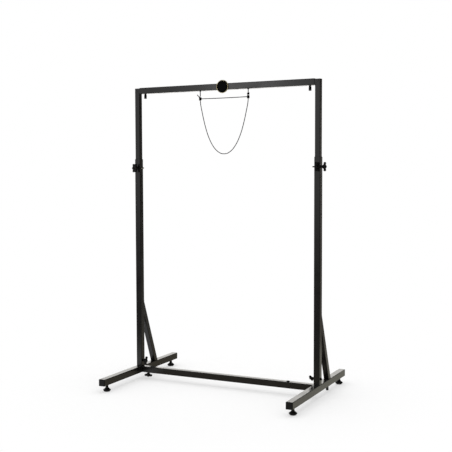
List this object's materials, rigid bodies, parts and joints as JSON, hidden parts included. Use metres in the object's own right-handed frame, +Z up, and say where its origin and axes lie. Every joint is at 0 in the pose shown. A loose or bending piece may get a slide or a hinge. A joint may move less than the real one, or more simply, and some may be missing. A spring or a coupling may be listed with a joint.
{
  "type": "gong stand",
  "caption": "Height-adjustable floor stand for a hanging gong: square-tube frame on two braced feet, sleeve posts with locking knobs, top bar with hooks, cord and round badge.",
  "frame": {"origin": "on the floor, midway between the four feet", "axes": "+Z up, +X to the viewer's right along the top bar, front towards -Y"},
  "size_m": [1.2, 0.818, 1.7233],
  "materials": {
    "powder_coat": "satin black powder coat",
    "black_plastic": "moulded, fine grain",
    "foot_rubber": "moulded",
    "zinc_steel": "zinc plated",
    "black_steel": "black zinc",
    "badge_black": "matt black film",
    "brass_ring": "polished",
    "braided_cord": "braided polyester"
  },
  "bodies": {
    "base": {"left_leg": "powder_coat", "left_lower_post": "powder_coat", "left_post_spigot": "powder_coat", "left_brace": "powder_coat", "left_crossbar_spigot": "powder_coat", "left_foot_bolt_nut": "black_steel", "front_left_cap": "black_plastic", "rear_left_cap": "black_plastic", "right_leg": "powder_coat", "right_lower_post": "powder_coat", "right_post_spigot": "powder_coat", "right_brace": "powder_coat", "right_crossbar_spigot": "powder_coat", "right_foot_bolt_nut": "black_steel", "front_right_cap": "black_plastic", "rear_right_cap": "black_plastic", "crossbar": "powder_coat", "crossbar_plug": "black_plastic"},
    "upper_frame": {"top_bar": "powder_coat", "badge_plate": "badge_black", "badge_ring": "brass_ring", "left_upper_post": "powder_coat", "left_bar_stub": "powder_coat", "left_hook": "black_steel", "left_hook_nut": "zinc_steel", "right_upper_post": "powder_coat", "right_bar_stub": "powder_coat", "right_hook": "black_steel", "right_hook_nut": "zinc_steel", "cord_tie": "braided_cord", "cord_tail": "braided_cord", "cord_loop": "braided_cord", "left_cord_knot": "braided_cord", "right_cord_knot": "braided_cord"},
    "front_left_foot": {"front_left_foot_pad": "foot_rubber", "front_left_foot_stud": "zinc_steel"},
    "rear_left_foot": {"rear_left_foot_pad": "foot_rubber", "rear_left_foot_stud": "zinc_steel"},
    "left_lock_bolt": {"left_lock_bolt": "zinc_steel"},
    "left_lock_knob": {"left_lock_knob": "black_plastic"},
    "left_front_screw": {"left_front_knob": "black_plastic"},
    "left_post_foot_screw": {"left_foot_knob": "black_plastic", "left_foot_bolt": "black_steel"},
    "left_crossbar_screw": {"left_crossbar_knob": "black_plastic"},
    "left_brace_screw": {"left_brace_knob": "black_plastic"},
    "left_bar_screw": {"left_bar_knob": "black_plastic"},
    "front_right_foot": {"front_right_foot_pad": "foot_rubber", "front_right_foot_stud": "zinc_steel"},
    "rear_right_foot": {"rear_right_foot_pad": "foot_rubber", "rear_right_foot_stud": "zinc_steel"},
    "right_lock_bolt": {"right_lock_bolt": "zinc_steel"},
    "right_lock_knob": {"right_lock_knob": "black_plastic"},
    "right_front_screw": {"right_front_knob": "black_plastic"},
    "right_post_foot_screw": {"right_foot_knob": "black_plastic", "right_foot_bolt": "black_steel"},
    "right_crossbar_screw": {"right_crossbar_knob": "black_plastic"},
    "right_brace_screw": {"right_brace_knob": "black_plastic"},
    "right_bar_screw": {"right_bar_knob": "black_plastic"}
  },
  "joints": [
    {"name": "frame_height", "type": "slide", "parent": "base", "child": "upper_frame", "axis": [0, 0, 1], "range_m": [-0.3, 0.3]},
    {"name": "front_left_foot_screw", "type": "slide", "parent": "base", "child": "front_left_foot", "axis": [0, 0, 1], "range_m": [-0.02, 0]},
    {"name": "rear_left_foot_screw", "type": "slide", "parent": "base", "child": "rear_left_foot", "axis": [0, 0, 1], "range_m": [-0.02, 0]},
    {"name": "left_lock_bolt_draw", "type": "slide", "parent": "base", "child": "left_lock_bolt", "axis": [-1, 0, 0], "range_m": [0, 0.055]},
    {"name": "left_lock_knob_turn", "type": "hinge", "parent": "left_lock_bolt", "child": "left_lock_knob", "pos_m": [-0.5725, 0, 1.2413], "axis": [-1, 0, 0], "continuous": true},
    {"name": "left_front_screw_turn", "type": "hinge", "parent": "base", "child": "left_front_screw", "pos_m": [-0.555, -0.0175, 1.2413], "axis": [0, -1, 0], "continuous": true},
    {"name": "left_post_foot_screw_turn", "type": "hinge", "parent": "base", "child": "left_post_foot_screw", "pos_m": [-0.5375, 0, 0.106], "axis": [1, 0, 0], "continuous": true},
    {"name": "left_crossbar_screw_turn", "type": "hinge", "parent": "base", "child": "left_crossbar_screw", "pos_m": [-0.5032, 0, 0.0395], "axis": [0, 0, -1], "continuous": true},
    {"name": "left_brace_screw_turn", "type": "hinge", "parent": "base", "child": "left_brace_screw", "pos_m": [-0.555, 0.155, 0.038], "axis": [0, 0, -1], "continuous": true},
    {"name": "left_bar_screw_turn", "type": "hinge", "parent": "upper_frame", "child": "left_bar_screw", "pos_m": [-0.5075, 0, 1.6698], "axis": [0, 0, -1], "continuous": true},
    {"name": "front_right_foot_screw", "type": "slide", "parent": "base", "child": "front_right_foot", "axis": [0, 0, 1], "range_m": [-0.02, 0]},
    {"name": "rear_right_foot_screw", "type": "slide", "parent": "base", "child": "rear_right_foot", "axis": [0, 0, 1], "range_m": [-0.02, 0]},
    {"name": "right_lock_bolt_draw", "type": "slide", "parent": "base", "child": "right_lock_bolt", "axis": [1, 0, 0], "range_m": [0, 0.055]},
    {"name": "right_lock_knob_turn", "type": "hinge", "parent": "right_lock_bolt", "child": "right_lock_knob", "pos_m": [0.5725, 0, 1.2413], "axis": [1, 0, 0], "continuous": true},
    {"name": "right_front_screw_turn", "type": "hinge", "parent": "base", "child": "right_front_screw", "pos_m": [0.555, -0.0175, 1.2413], "axis": [0, -1, 0], "continuous": true},
    {"name": "right_post_foot_screw_turn", "type": "hinge", "parent": "base", "child": "right_post_foot_screw", "pos_m": [0.5375, 0, 0.106], "axis": [-1, 0, 0], "continuous": true},
    {"name": "right_crossbar_screw_turn", "type": "hinge", "parent": "base", "child": "right_crossbar_screw", "pos_m": [0.5032, 0, 0.0395], "axis": [0, 0, -1], "continuous": true},
    {"name": "right_brace_screw_turn", "type": "hinge", "parent": "base", "child": "right_brace_screw", "pos_m": [0.555, 0.155, 0.038], "axis": [0, 0, -1], "continuous": true},
    {"name": "right_bar_screw_turn", "type": "hinge", "parent": "upper_frame", "child": "right_bar_screw", "pos_m": [0.5075, 0, 1.6698], "axis": [0, 0, -1], "continuous": true}
  ]
}
